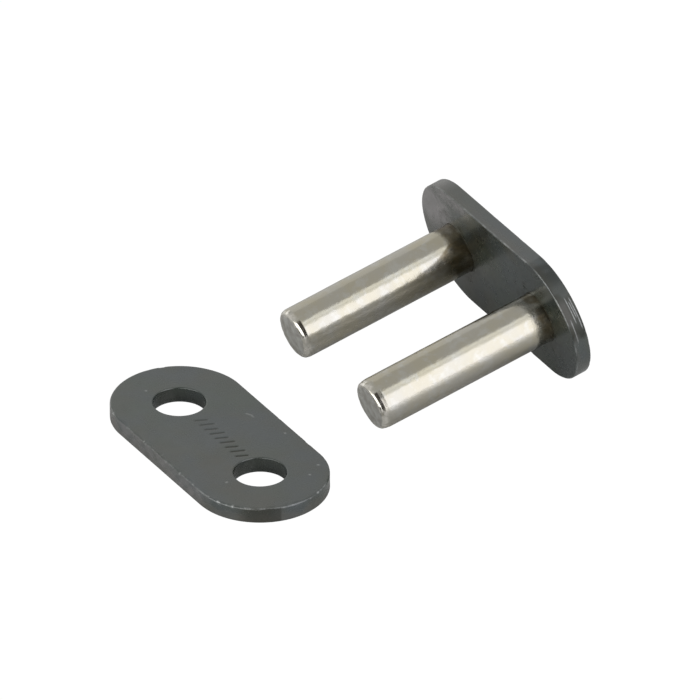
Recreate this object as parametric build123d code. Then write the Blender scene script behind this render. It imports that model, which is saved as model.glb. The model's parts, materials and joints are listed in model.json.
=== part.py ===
from build123d import *
import os
from math import asin, atan2, cos, degrees, hypot, radians, sin, tan

# Connecting link of a roller chain with a 3/8 inch pitch, riveted type. Sizes are in millimetres.
#
# Two pins are riveted into one stamped plate. To join a chain, the pins go through its two open
# end links, and the loose cover plate is then pressed onto the pins. Here the set lies open on a
# table: the pinned plate leans on its lower inner edge and on its pin tips, and the cover plate
# lies flat beyond the tips.
#
# X runs along the pinned plate, the pins point towards -Y, and Z is up. The origin is on the
# table, under the middle of the set.

# Chain
pitch = 9.525                  # from pin to pin: 3/8 inch

# Plates, stamped from strip and then tumbled
plate_height = 8.5             # across the two straight sides, which is also the end rounds' width
plate_thickness = 1.04
die_roll = 0.13                # round at the outline of the face that the punch enters
edge_bevel = 0.07              # round the other face, where tumbling took off the burr
rim_bevel = 0.05               # the same, at the rim of a hole

# Pins, turned from bar, hardened and plated
pin_radius = 1.64
pin_reach = 12.25              # from the pin plate's inner face to the end of the tip
tip_face_radius = 1.38         # flat end of the tip
tip_corner = 0.14              # round between the end and the lead-in taper
tip_taper = 14                 # lead-in taper to the pin's axis, in degrees
tip_blend = 1.6                # large round where the taper runs out into the shank

# Rivets, where the pins are fixed in the pin plate
rivet_swell = 0.05             # the hole and the pin in it widen by this towards the outer face
rivet_sink = 0.25              # depth and width of the countersink under the head
rivet_head_radius = 2.02
rivet_head_height = 0.24       # proud of the outer face
rivet_dimple_radius = 0.85     # mark of the riveting punch
rivet_dimple_depth = 0.07

# Holes of the cover plate
press = 0.01                   # the hole's radius is this much under the pin's
breakout_depth = 0.34          # the last part of the thickness, where the slug tore out
breakout_gap = 0.05            # how far the torn part widens

# How the set lies
cover_gap = 4.8                # from the foremost edge of the pin tips to the cover plate
cover_shift = 2.5              # how far the cover plate lies to +X of the pin plate
cover_turn = 0.7               # degrees


def tip_shape():
    """Heights above the shank's end of the taper's two ends and of the tip, and the taper's radii."""
    angle = radians(tip_taper)
    taper_start = tip_blend * sin(angle)
    start_radius = pin_radius - tip_blend * (1 - cos(angle))
    end_radius = tip_face_radius + tip_corner * cos(angle)
    taper_end = taper_start + (start_radius - end_radius) / tan(angle)
    tip_end = taper_end + tip_corner * (1 - sin(angle))
    return taper_start, taper_end, tip_end, start_radius, end_radius


taper_start, taper_end, tip_length, taper_start_radius, taper_end_radius = tip_shape()
shank_end = pin_reach - tip_length


def pin():
    """A pin along Z, with the pin plate's inner face at zero, its head below and its tip above."""
    outer_face = -plate_thickness
    seat_radius = pin_radius + rivet_swell
    head_top = outer_face - rivet_head_height
    with BuildPart() as body:
        with BuildSketch(Plane.XZ):
            with BuildLine():
                TangentArc(
                    (0, head_top + rivet_dimple_depth),
                    (rivet_dimple_radius, head_top),
                    tangent=(1, 0),
                )
                TangentArc((rivet_dimple_radius, head_top), (rivet_head_radius, outer_face), tangent=(1, 0))
                Polyline(
                    (rivet_head_radius, outer_face),
                    (seat_radius + rivet_sink, outer_face),
                    (seat_radius, outer_face + rivet_sink),
                    (pin_radius, 0),
                    (pin_radius, shank_end),
                )
                CenterArc((pin_radius - tip_blend, shank_end), tip_blend, 0, tip_taper)
                Line(
                    (taper_start_radius, shank_end + taper_start),
                    (taper_end_radius, shank_end + taper_end),
                )
                CenterArc((tip_face_radius, pin_reach - tip_corner), tip_corner, tip_taper, 90 - tip_taper)
                Polyline(
                    (tip_face_radius, pin_reach),
                    (0, pin_reach),
                    (0, head_top + rivet_dimple_depth),
                )
            make_face()
        revolve(axis=Axis.Z)
    return body.part


def blank():
    """A plate without holes, lying flat on Z zero with its rolled face up."""
    plate = extrude(SlotCenterToCenter(pitch, plate_height), plate_thickness)
    plate = fillet(plate.faces().sort_by(Axis.Z)[-1].edges(), die_roll)
    return chamfer(plate.faces().sort_by(Axis.Z)[0].edges(), edge_bevel)


def punched_hole():
    """The space of one hole of the cover plate: torn below, straight in the middle, bevelled above."""
    radius = pin_radius - press
    with BuildPart() as space:
        with BuildSketch(Plane.XZ):
            with BuildLine():
                Polyline(
                    (0, plate_thickness),
                    (0, 0),
                    (radius + breakout_gap, 0),
                    (radius, breakout_depth),
                    (radius, plate_thickness - rim_bevel),
                    (radius + rim_bevel, plate_thickness),
                    (0, plate_thickness),
                )
            make_face()
        revolve(axis=Axis.Z)
    return space.part


def cover_plate():
    """The loose plate, flat on Z zero, with a hole for each pin."""
    hole = punched_hole()
    return blank() - Pos(-pitch / 2, 0, 0) * hole - Pos(pitch / 2, 0, 0) * hole


def pin_plate(pins):
    """The plate that holds the pins: inner face at Z zero, outer face below, holes filled by the pins."""
    plate = Rot(X=180) * blank()
    for one in pins:
        plate -= one
    inner_face = plate.faces().sort_by(Axis.Z)[-1]
    return chamfer(inner_face.inner_wires().edges(), rim_bevel)


def lean_angle():
    """Degrees that the pins slope down when the lower inner edge and the tips both touch the table.

    Seen from the plate's end, the table is the line from the plate's lowest corner that just
    touches the round where a pin's tip begins to narrow.
    """
    run = shank_end + edge_bevel
    rise = plate_height / 2 - pin_radius + tip_blend
    return degrees(atan2(rise, run) - asin(tip_blend / hypot(run, rise)))


def resting_set():
    """The four pieces by name, placed as they lie on the table."""
    front = Pos(pitch / 2, 0, 0) * pin()
    rear = Pos(-pitch / 2, 0, 0) * pin()
    lean = Rot(X=90 + lean_angle())
    pieces = {
        "pin_plate": lean * pin_plate([front, rear]),
        "front_pin": lean * front,
        "rear_pin": lean * rear,
    }
    leaning = Compound(list(pieces.values())).bounding_box()
    pieces = {name: Pos(0, 0, -leaning.min.Z) * piece for name, piece in pieces.items()}
    cover_y = leaning.min.Y - cover_gap - plate_height / 2
    pieces["cover_plate"] = Pos(cover_shift, cover_y, 0) * Rot(Z=cover_turn) * cover_plate()
    return pieces


def centred(pieces):
    """The same pieces, moved level so that the origin is under the middle of the set."""
    middle = Compound(list(pieces.values())).bounding_box().center()
    return {name: Pos(-middle.X, -middle.Y, 0) * piece for name, piece in pieces.items()}


os.makedirs("parts", exist_ok=True)
for name, piece in centred(resting_set()).items():
    piece.label = name
    export_step(piece, f"parts/{name}.step")
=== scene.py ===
import json
import logging
import math
from abc import ABC, abstractmethod
from dataclasses import dataclass, field
from enum import Enum

import bpy
import numpy as np
from mathutils import Matrix


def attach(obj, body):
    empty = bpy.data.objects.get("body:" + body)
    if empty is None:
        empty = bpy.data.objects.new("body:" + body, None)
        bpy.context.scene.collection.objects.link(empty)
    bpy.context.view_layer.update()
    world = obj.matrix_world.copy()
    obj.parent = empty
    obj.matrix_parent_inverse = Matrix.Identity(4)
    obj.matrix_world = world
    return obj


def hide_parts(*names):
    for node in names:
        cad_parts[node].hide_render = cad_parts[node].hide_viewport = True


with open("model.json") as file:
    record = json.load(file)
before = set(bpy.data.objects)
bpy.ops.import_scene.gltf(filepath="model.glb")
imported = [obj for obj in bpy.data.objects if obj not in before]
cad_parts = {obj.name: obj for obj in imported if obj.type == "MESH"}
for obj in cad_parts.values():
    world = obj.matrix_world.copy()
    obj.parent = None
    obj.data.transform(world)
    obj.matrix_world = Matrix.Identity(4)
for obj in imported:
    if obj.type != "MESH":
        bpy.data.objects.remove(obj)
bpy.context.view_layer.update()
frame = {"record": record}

# Connecting link of a 3/8 inch roller chain, riveted type, laid out on a glowing white table: two
# turned pins in a stamped plate, and the loose cover plate. Lengths are in millimetres until a
# mesh is made, angles are in degrees, and radiance is 1 where the picture is just white.

PITCH = 9.525
PLATE_HEIGHT = 8.5
PLATE_THICKNESS = 1.04
PIN_RADIUS = 1.64
RIVET_SWELL = 0.05
RIVET_SINK = 0.25

MM = 0.001
WELD_GRID = 1e-6
ON_FACE = 1e-6
TINY = 1e-9

Pair = tuple[float, float]
Colour = tuple[float, float, float]
Socket = bpy.types.NodeSocket
Material = bpy.types.Material
Thing = bpy.types.Object

log = logging.getLogger("connecting_link")


class Slot(Enum):
    """Material slots of the record."""

    PLATE = "plate_steel"
    PIN = "pin_steel"


class End(Enum):
    """The two ends of a plate, by the sign of X in the plate's own axes."""

    REAR = -1
    FRONT = 1


class Face(Enum):
    """The two faces of a stamped plate, by their height as a share of the thickness."""

    PLAIN = 0
    ROLLED = 1


class Join(Enum):
    """Ways to join two values in a material."""

    PRODUCT = "MULTIPLY"
    LARGER = "MAXIMUM"


class LampShape(Enum):
    """Outlines of a soft lamp."""

    OBLONG = "RECTANGLE"
    ROUND = "ELLIPSE"


# ---------------------------------------------------------------- levels


def step(band: Pair, value: np.ndarray) -> np.ndarray:
    """Smooth step over a band: 3 t^2 - 2 t^3, where t goes from 0 to 1 over the band."""
    t = np.clip((value - band[0]) / (band[1] - band[0]), 0, 1)
    return t * t * (3 - 2 * t)


def fade(band: Pair, value: np.ndarray) -> np.ndarray:
    """The smooth step turned round: 1 below the band and 0 above it."""
    return 1 - step(band, value)


def between(levels: Pair, share: np.ndarray) -> np.ndarray:
    """The level that is a share of the way from the first one to the second."""
    return levels[0] + (levels[1] - levels[0]) * share


@dataclass(frozen=True)
class Window:
    """A stretch with soft ends, which opens over one band and closes over another."""

    opens: Pair
    closes: Pair

    def at(self, value: np.ndarray) -> np.ndarray:
        """1 inside the stretch and 0 outside."""
        return step(self.opens, value) * fade(self.closes, value)


@dataclass(frozen=True)
class Waves:
    """Smooth noise: the sum of sine waves with random directions and phases.

    Each wave is sin(k . p + phase), with k pointing anywhere and a wavelength near the size. The
    sum is divided by the root of half the count, which makes its spread about 1.
    """

    size: float
    seed: int
    count: int = 24
    spread: Pair = (0.7, 1.4)

    def at(self, points: np.ndarray, shift: int = 0) -> np.ndarray:
        """The noise at points.

        Args:
            points: rows of x, y and z.
            shift: added to the seed, so that like pieces get noise of their own.

        Returns:
            One value a point.
        """
        random = np.random.default_rng(self.seed + shift)
        directions = random.normal(size=(self.count, 3))
        directions /= np.linalg.norm(directions, axis=1, keepdims=True)
        numbers = 2 * np.pi / (self.size * random.uniform(*self.spread, self.count))
        phases = random.uniform(0, 2 * np.pi, self.count)
        sines = np.sin(points @ (directions * numbers[:, None]).T + phases)
        return sines.sum(axis=1) / math.sqrt(self.count / 2)


@dataclass(frozen=True)
class Swell:
    """Coarse noise with fine noise on it: height x (coarse + share x fine)."""

    height: float
    coarse: Waves
    fine: Waves
    share: float

    def at(self, points: np.ndarray, shift: int = 0) -> np.ndarray:
        """The swell at points."""
        return self.height * (self.coarse.at(points, shift) + self.share * self.fine.at(points, shift))


@dataclass(frozen=True)
class Uneven:
    """A level that noise raises and lowers: level + swing x noise."""

    waves: Waves
    level: float
    swing: float

    def at(self, points: np.ndarray, shift: int = 0) -> np.ndarray:
        """The level at points."""
        return self.level + self.swing * self.waves.at(points, shift)


@dataclass(frozen=True)
class Patchy:
    """A level that goes from the first to the second where noise rises through a band."""

    noise: Waves | Swell
    band: Pair
    levels: Pair = (0.0, 1.0)

    def at(self, points: np.ndarray, shift: int = 0) -> np.ndarray:
        """The level at points."""
        return between(self.levels, step(self.band, self.noise.at(points, shift)))


# ---------------------------------------------------------------- profiles and surfaces


def arc(centre: Pair, radius: float, start: float, end: float, count: int) -> np.ndarray:
    """Points of a circular arc: centre + radius (cos a, sin a), for a from start to end degrees."""
    angle = np.radians(np.linspace(start, end, count))
    return np.column_stack([centre[0] + radius * np.cos(angle), centre[1] + radius * np.sin(angle)])


def level_arc(start: Pair, end: Pair, count: int) -> np.ndarray:
    """The arc that leaves its start level and goes through its end.

    Its centre is straight above or below the start, at the signed height
    (run^2 + rise^2) / (2 rise).

    Args:
        start: first point.
        end: last point.
        count: how many points the arc gets.

    Returns:
        The points.
    """
    run, rise = end[0] - start[0], end[1] - start[1]
    height = (run * run + rise * rise) / (2 * rise)
    turn = math.atan2(run, abs(height - rise)) * np.linspace(0, 1, count)
    across = start[0] + abs(height) * np.sin(turn)
    return np.column_stack([across, start[1] + height - height * np.cos(turn)])


def stretch(start: Pair, end: Pair, spacing: float) -> np.ndarray:
    """Points of a straight line, no further apart than the spacing."""
    count = max(2, 1 + math.ceil(math.dist(start, end) / spacing))
    return np.linspace(start, end, count)


def chained(*lines: np.ndarray) -> np.ndarray:
    """One profile from lines that follow each other, without the points that repeat."""
    return np.concatenate([lines[0]] + [line[1:] for line in lines[1:]])


@dataclass
class Skin:
    """A closed surface gathered from grids of points."""

    points: list[np.ndarray] = field(default_factory=list)
    quads: list[np.ndarray] = field(default_factory=list)

    def add(self, grid: np.ndarray, ring: bool = False, turned: bool = False) -> None:
        """Adds the faces between the neighbours of a grid.

        Args:
            grid: points as rows by columns by x, y and z.
            ring: whether the last column is joined to the first.
            turned: whether the faces are wound the other way.
        """
        rows, columns = grid.shape[:2]
        start = sum(len(points) for points in self.points)
        index = start + np.arange(rows * columns).reshape(rows, columns)
        if ring:
            index = np.column_stack([index, index[:, 0]])
        corners = [index[:-1, :-1], index[:-1, 1:], index[1:, 1:], index[1:, :-1]]
        quads = np.stack(corners, axis=-1).reshape(-1, 4)
        self.quads.append(quads[:, ::-1] if turned else quads)
        self.points.append(grid.reshape(-1, 3))

    def welded(self) -> tuple[np.ndarray, list[list[int]]]:
        """Joins the points that lie in one place, and drops the corners that repeat.

        Returns:
            The points, and the faces as lists of corners.
        """
        points = np.concatenate(self.points)
        keys = np.round(points / WELD_GRID).astype(np.int64)
        _, first, index = np.unique(keys, axis=0, return_index=True, return_inverse=True)
        faces = index.reshape(-1)[np.concatenate(self.quads)]
        repeats = faces == np.roll(faces, -1, axis=1)
        whole = faces[~repeats.any(axis=1)].tolist()
        cut = [list(dict.fromkeys(face)) for face in faces[repeats.any(axis=1)].tolist()]
        return points[first], whole + [face for face in cut if len(face) > 2]


# ---------------------------------------------------------------- the frame and Blender


def mount(name: str) -> dict:
    """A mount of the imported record."""
    return next(entry for entry in frame["record"]["mounts"] if entry["name"] == name)


def mount_place(name: str) -> np.ndarray:
    """A mount's place, in millimetres."""
    return np.array(mount(name)["pos_m"]) / MM


def mount_axis(name: str) -> np.ndarray:
    """A mount's axis, as a unit direction."""
    axis = np.array(mount(name)["axis"], dtype=float)
    return axis / np.linalg.norm(axis)


def direction(azimuth: float, elevation: float) -> np.ndarray:
    """The unit direction at an azimuth from +X towards +Y and an elevation, both in radians."""
    level = math.cos(elevation)
    return np.array([level * math.cos(azimuth), level * math.sin(azimuth), math.sin(elevation)])


def looking(place: np.ndarray, way: np.ndarray) -> Matrix:
    """How a thing is set so that its -Z looks along a way and its X is level.

    Args:
        place: where the thing is, in metres.
        way: the unit direction that it looks in.

    Returns:
        The matrix of the thing.
    """
    side = np.cross(way, (0, 0, 1))
    side /= np.linalg.norm(side)
    columns = np.column_stack([side, np.cross(side, way), -way, place])
    return Matrix([*columns.tolist(), [0, 0, 0, 1]])


def put(name: str, data: bpy.types.ID) -> Thing:
    """Puts a new object in the scene.

    Args:
        name: the object's name.
        data: its mesh, lamp or camera.

    Returns:
        The object.
    """
    thing = bpy.data.objects.new(name, data)
    bpy.context.scene.collection.objects.link(thing)
    return thing


@dataclass(frozen=True)
class Axes:
    """Where a piece's own axes lie in the frame: their origin and three unit directions."""

    origin: np.ndarray
    x: np.ndarray
    y: np.ndarray
    z: np.ndarray

    def placed(self, points: np.ndarray) -> np.ndarray:
        """Points given along these axes, in the frame."""
        return self.origin + points @ np.stack([self.x, self.y, self.z])


@dataclass
class Piece:
    """A finished piece in Blender: its mesh, and what it stands for."""

    node: str
    slot: Slot
    axes: Axes
    skin: Skin
    local: np.ndarray = field(init=False)
    thing: Thing = field(init=False)

    def __post_init__(self) -> None:
        """Makes the object from the welded skin, with its place in its mesh."""
        self.local, faces = self.skin.welded()
        name = f"{self.node}_finished"
        mesh = bpy.data.meshes.new(name)
        mesh.from_pydata(self.axes.placed(self.local) * MM, [], faces)
        mesh.polygons.foreach_set("use_smooth", np.ones(len(mesh.polygons), dtype=bool))
        self.thing = put(name, mesh)

    def raise_by(self, height: np.ndarray) -> None:
        """Moves every point along its normal.

        Args:
            height: one height a point.
        """
        mesh = self.thing.data
        normals = np.empty(len(self.local) * 3, dtype=np.float32)
        mesh.vertex_normals.foreach_get("vector", normals)
        points = self.axes.placed(self.local) + normals.reshape(-1, 3) * height[:, None]
        mesh.vertices.foreach_set("co", (points * MM).astype(np.float32).ravel())
        mesh.update()

    def paint(self, name: str, values: np.ndarray) -> None:
        """Stores one value a point, kept from 0 to 1, as an attribute that the finish reads."""
        attribute = self.thing.data.attributes.new(name, "FLOAT", "POINT")
        attribute.data.foreach_set("value", np.clip(values, 0, 1).astype(np.float32))

    def dress(self, finish: Material) -> None:
        """Gives the piece its material, and puts it on the body in place of its node.

        Args:
            finish: the material.
        """
        self.thing.data.materials.append(finish)
        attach(self.thing, "root")
        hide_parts(self.node)
        log.info("%s: %d faces, stands for %s", self.thing.name, len(self.thing.data.polygons), self.node)


@dataclass
class Part(ABC):
    """A part of the link: its surface, where it lies, its relief and its wear."""

    finish: Material
    node: str
    slot: Slot

    @abstractmethod
    def axes(self) -> Axes:
        """The part's own axes."""

    @abstractmethod
    def skin(self) -> Skin:
        """The part's closed surface, in its own axes."""

    @abstractmethod
    def relief(self, local: np.ndarray) -> np.ndarray:
        """How far each point is raised along its normal."""

    @abstractmethod
    def wear(self, local: np.ndarray) -> dict[str, np.ndarray]:
        """The attributes that the finish reads, by name."""

    def build(self) -> None:
        """Makes the part with its relief and wear, and dresses it."""
        piece = Piece(self.node, self.slot, self.axes(), self.skin())
        piece.raise_by(self.relief(piece.local))
        for name, values in self.wear(piece.local).items():
            piece.paint(name, values)
        piece.dress(self.finish)


# ---------------------------------------------------------------- finishes


@dataclass(frozen=True)
class Noise:
    """Noise in a material: the size of its features, how much detail it has, and its roughness.

    With a band, it is stretched so that it goes from the first level to the second over the band.
    """

    size: float
    detail: float = 2
    roughness: float = 0.5
    band: Pair | None = None
    levels: Pair = (0.0, 1.0)


class Shader:
    """A material under construction, with short ways to add the nodes that the finishes use."""

    def __init__(self, name: str) -> None:
        """Makes a material with only its Principled shader and its output.

        Args:
            name: the material's name.
        """
        self.material = bpy.data.materials.new(name)
        self.material.use_nodes = True
        self.tree = self.material.node_tree
        self.surface = self.tree.nodes["Principled BSDF"]
        self.place = self.tree.nodes.new("ShaderNodeTexCoord").outputs["Object"]

    def link(self, source: Socket, target: Socket) -> None:
        """Joins two sockets."""
        self.tree.links.new(source, target)

    def drive(self, name: str, source: Socket) -> None:
        """Joins a socket to a named input of the Principled shader."""
        self.link(source, self.surface.inputs[name])

    def keep(self, name: str, value: float | tuple[float, ...]) -> None:
        """Sets a named input of the Principled shader to a constant."""
        self.surface.inputs[name].default_value = value

    def noise(self, noise: Noise) -> Socket:
        """Noise over the object's own coordinates.

        Args:
            noise: its size and character.

        Returns:
            The noise, stretched over its band if it has one.
        """
        node = self.tree.nodes.new("ShaderNodeTexNoise")
        node.inputs["Scale"].default_value = 1 / (noise.size * MM)
        node.inputs["Detail"].default_value = noise.detail
        node.inputs["Roughness"].default_value = noise.roughness
        self.link(self.place, node.inputs["Vector"])
        if noise.band is None:
            return node.outputs["Fac"]
        stretched = self.tree.nodes.new("ShaderNodeMapRange")
        names = ("From Min", "From Max", "To Min", "To Max")
        for name, value in zip(names, noise.band + noise.levels):
            stretched.inputs[name].default_value = value
        self.link(node.outputs["Fac"], stretched.inputs["Value"])
        return stretched.outputs["Result"]

    def painted(self, name: str) -> Socket:
        """An attribute of the mesh.

        Args:
            name: the attribute's name.

        Returns:
            Its value.
        """
        node = self.tree.nodes.new("ShaderNodeAttribute")
        node.attribute_name = name
        return node.outputs["Fac"]

    def joined(self, join: Join, first: Socket, second: Socket) -> Socket:
        """Two values made one.

        Args:
            join: how they are joined.
            first: one value.
            second: the other value.

        Returns:
            The result, kept from 0 to 1.
        """
        node = self.tree.nodes.new("ShaderNodeMath")
        node.operation = join.value
        node.use_clamp = True
        self.link(first, node.inputs[0])
        self.link(second, node.inputs[1])
        return node.outputs["Value"]

    def mix(self, share: Socket, first: Socket | Colour, second: Socket | Colour | float) -> Socket:
        """Something between two colours, or between two numbers if the second is one.

        Args:
            share: how much of the second there is.
            first: a socket or a colour.
            second: a socket, a colour or a number.

        Returns:
            The mixed colour or number.
        """
        number = isinstance(second, float)
        kind = "VALUE" if number else "RGBA"
        node = self.tree.nodes.new("ShaderNodeMix")
        node.data_type = "FLOAT" if number else "RGBA"
        self.link(share, node.inputs["Factor"])
        for name, value in (("A", first), ("B", second)):
            socket = next(entry for entry in node.inputs if entry.name == name and entry.type == kind)
            if isinstance(value, Socket):
                self.link(value, socket)
            else:
                socket.default_value = value if number else (*value, 1)
        return next(entry for entry in node.outputs if entry.type == kind)

    def layered(self, base: Socket, layers: list[tuple[Socket, Socket | Colour | float]]) -> Socket:
        """Lays colours or numbers over a base, one after the other.

        Args:
            base: what lies under all of them.
            layers: pairs of a share and what is laid over by that share.

        Returns:
            The colour or number that results.
        """
        for share, value in layers:
            base = self.mix(share, base, value)
        return base

    def bump(self, layers: list[tuple[Socket, float]]) -> None:
        """Fine relief on the surface.

        Args:
            layers: pairs of a height from 0 to 1 and the height in millimetres that 1 stands for.
        """
        normal = None
        for height, depth in layers:
            node = self.tree.nodes.new("ShaderNodeBump")
            node.inputs["Distance"].default_value = depth * MM
            self.link(height, node.inputs["Height"])
            if normal is not None:
                self.link(normal, node.inputs["Normal"])
            normal = node.outputs["Normal"]
        self.drive("Normal", normal)


@dataclass(frozen=True)
class DarkOxide:
    """Black oxide on stamped steel: dark and a little glossy, bare where it is rubbed off.

    It reads four attributes: where the bare steel shows, which along edges is also a painted
    highlight; where the punch broke the steel out; where burnt oil and painted shade make it
    darker; and where the oxide is thin and grey, which in places is also painted light.
    """

    name: str = "dark_oxide"
    green_grey: Colour = (0.041, 0.058, 0.049)
    brown_grey: Colour = (0.048, 0.054, 0.045)
    blue_grey: Colour = (0.042, 0.056, 0.059)
    torn_grey: Colour = (0.085, 0.080, 0.067)
    # burnt oil, also used as painted shade
    burnt_oil_and_shade: Colour = (0.022, 0.021, 0.012)
    # thin oxide, also used as painted light
    thin_grey_and_light: Colour = (0.195, 0.188, 0.193)
    # bare steel, also used as painted highlights along edges
    bare_steel_and_highlight: Colour = (0.56, 0.58, 0.58)
    torn_roughness: float = 0.50
    oil_roughness: float = 0.34
    bare_roughness: float = 0.35
    index: float = 1.85
    clouds: Noise = Noise(4.5, 3, band=(0.38, 0.62))
    patches: Noise = Noise(2.6, 2, band=(0.42, 0.64))
    rubbing: Noise = Noise(0.09, 3, 0.6, (0.30, 0.62), (0.35, 1.0))
    roughness: Noise = Noise(0.8, 4, 0.6, (0.35, 0.65), (0.18, 0.28))
    dents: Noise = Noise(0.45, 3)
    grain: Noise = Noise(0.09, 3, 0.6)
    dent_depth: float = 0.0018
    grain_depth: float = 0.0007

    def material(self) -> Material:
        """The material, with its colour, roughness and relief from noise and attributes.

        Returns:
            The finished material.
        """
        shader = Shader(self.name)
        torn, soiled_and_shaded, thinned_and_lit = (shader.painted(name) for name in ("torn", "soiled_and_shaded", "thinned_and_lit"))
        rubbed_and_lit = shader.joined(Join.PRODUCT, shader.painted("worn_and_lit"), shader.noise(self.rubbing))
        oxide = shader.mix(shader.noise(self.clouds), self.green_grey, self.brown_grey)
        # the layers below carry painted highlights, painted light and painted shade as well as wear
        shader.drive("Base Color", shader.layered(oxide, [
            (shader.noise(self.patches), self.blue_grey),
            (torn, self.torn_grey),
            (thinned_and_lit, self.thin_grey_and_light),
            (soiled_and_shaded, self.burnt_oil_and_shade),
            (rubbed_and_lit, self.bare_steel_and_highlight),
        ]))
        shader.drive("Metallic", shader.joined(Join.LARGER, rubbed_and_lit, soiled_and_shaded))
        shader.drive("Roughness", shader.layered(shader.noise(self.roughness), [
            (torn, self.torn_roughness),
            (soiled_and_shaded, self.oil_roughness),
            (rubbed_and_lit, self.bare_roughness),
        ]))
        shader.keep("IOR", self.index)
        dents, grain = shader.noise(self.dents), shader.noise(self.grain)
        shader.bump([(dents, self.dent_depth), (grain, self.grain_depth)])
        return shader.material


@dataclass(frozen=True)
class NickelledSteel:
    """Hardened pin steel with a thin nickel plating: bright, a little yellow, finely pitted.

    It reads four attributes: one for a brown film, which is also painted shade at the feet and on
    the side that faces the other pin; cut, on the end that was cut off and only tumbled; one for
    the corner that wear makes bright, with painted highlights on two sides; and dulled, where the
    plating is matt.
    """

    name: str = "nickelled_steel"
    nickel: Colour = (0.512, 0.486, 0.393)
    cool_nickel: Colour = (0.504, 0.492, 0.438)
    pale_nickel: Colour = (0.560, 0.562, 0.530)
    # brown film, also used as painted shade
    film_and_shade: Colour = (0.155, 0.118, 0.052)
    cut_steel: Colour = (0.67, 0.68, 0.66)
    dark_cut: Colour = (0.46, 0.45, 0.42)
    # bright steel of the corner, also used as painted highlights
    bright_steel_and_highlight: Colour = (0.80, 0.78, 0.72)
    cut_roughness: float = 0.33
    film_roughness: float = 0.28
    dulled_roughness: float = 0.36
    clouds: Noise = Noise(2.2, 3, band=(0.38, 0.62))
    pale_spots: Noise = Noise(0.8, 4, 0.6, (0.50, 0.66), (0.0, 0.65))
    mottling: Noise = Noise(0.55, 3, band=(0.36, 0.64))
    film_spots: Noise = Noise(0.6, 3, band=(0.20, 0.55), levels=(0.4, 1.0))
    roughness: Noise = Noise(0.7, 4, 0.6, (0.35, 0.65), (0.13, 0.21))
    dents: Noise = Noise(0.9, 2)
    pits: Noise = Noise(0.13, 3, 0.55, (0.32, 0.46))
    scratches: Noise = Noise(0.22, 4, 0.6)
    scratched_part: Noise = Noise(1.3, 2, band=(0.48, 0.66))
    dent_depth: float = 0.0024
    pit_depth: float = 0.0014
    scratch_depth: float = 0.005

    def material(self) -> Material:
        """The material, with its colour, roughness and relief from noise and attributes.

        Returns:
            The finished material.
        """
        shader = Shader(self.name)
        cut = shader.painted("cut")
        # the brown film, and the painted shade that it also carries
        stain_and_shade = shader.joined(Join.PRODUCT, shader.painted("stained_and_shaded"), shader.noise(self.film_spots))
        mottled = shader.mix(shader.noise(self.mottling), self.cut_steel, self.dark_cut)
        plating = shader.mix(shader.noise(self.clouds), self.nickel, self.cool_nickel)
        shader.drive("Base Color", shader.layered(plating, [
            (shader.noise(self.pale_spots), self.pale_nickel),
            (cut, mottled),
            (shader.painted("rubbed_and_lit"), self.bright_steel_and_highlight),
            (stain_and_shade, self.film_and_shade),
        ]))
        shader.keep("Metallic", 1)
        shader.drive("Roughness", shader.layered(shader.noise(self.roughness), [
            (shader.painted("dulled"), self.dulled_roughness),
            (cut, self.cut_roughness),
            (stain_and_shade, self.film_roughness),
        ]))
        scratched_part = shader.noise(self.scratched_part)
        scratched = shader.joined(Join.PRODUCT, shader.noise(self.scratches), scratched_part)
        shader.bump([
            (shader.noise(self.dents), self.dent_depth),
            (shader.noise(self.pits), self.pit_depth),
            (scratched, self.scratch_depth),
        ])
        return shader.material


@dataclass(frozen=True)
class MattCard:
    """Card that may have a sheen or give an even light."""

    name: str
    shade: Colour
    sheen: float = 0
    glow: float = 0
    roughness: float = 0.16

    def material(self) -> Material:
        """The material.

        Returns:
            The finished material.
        """
        shader = Shader(self.name)
        shader.keep("Base Color", (*self.shade, 1))
        shader.keep("Roughness", self.roughness)
        shader.keep("Specular IOR Level", self.sheen)
        shader.keep("Emission Color", (1, 1, 1, 1))
        shader.keep("Emission Strength", self.glow)
        return shader.material


# ---------------------------------------------------------------- stamped plates


@dataclass(frozen=True)
class HoleShape:
    """The wall of a hole, as radii and heights from the rolled face down to the other face."""

    radii: tuple[float, ...]
    heights: tuple[float, ...]
    spacing: float = 0.08

    def profile(self) -> np.ndarray:
        """Points down the wall, as radius and height, close enough together for relief."""
        corners = list(zip(self.radii, self.heights))
        return chained(*(stretch(a, b, self.spacing) for a, b in zip(corners, corners[1:])))


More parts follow.
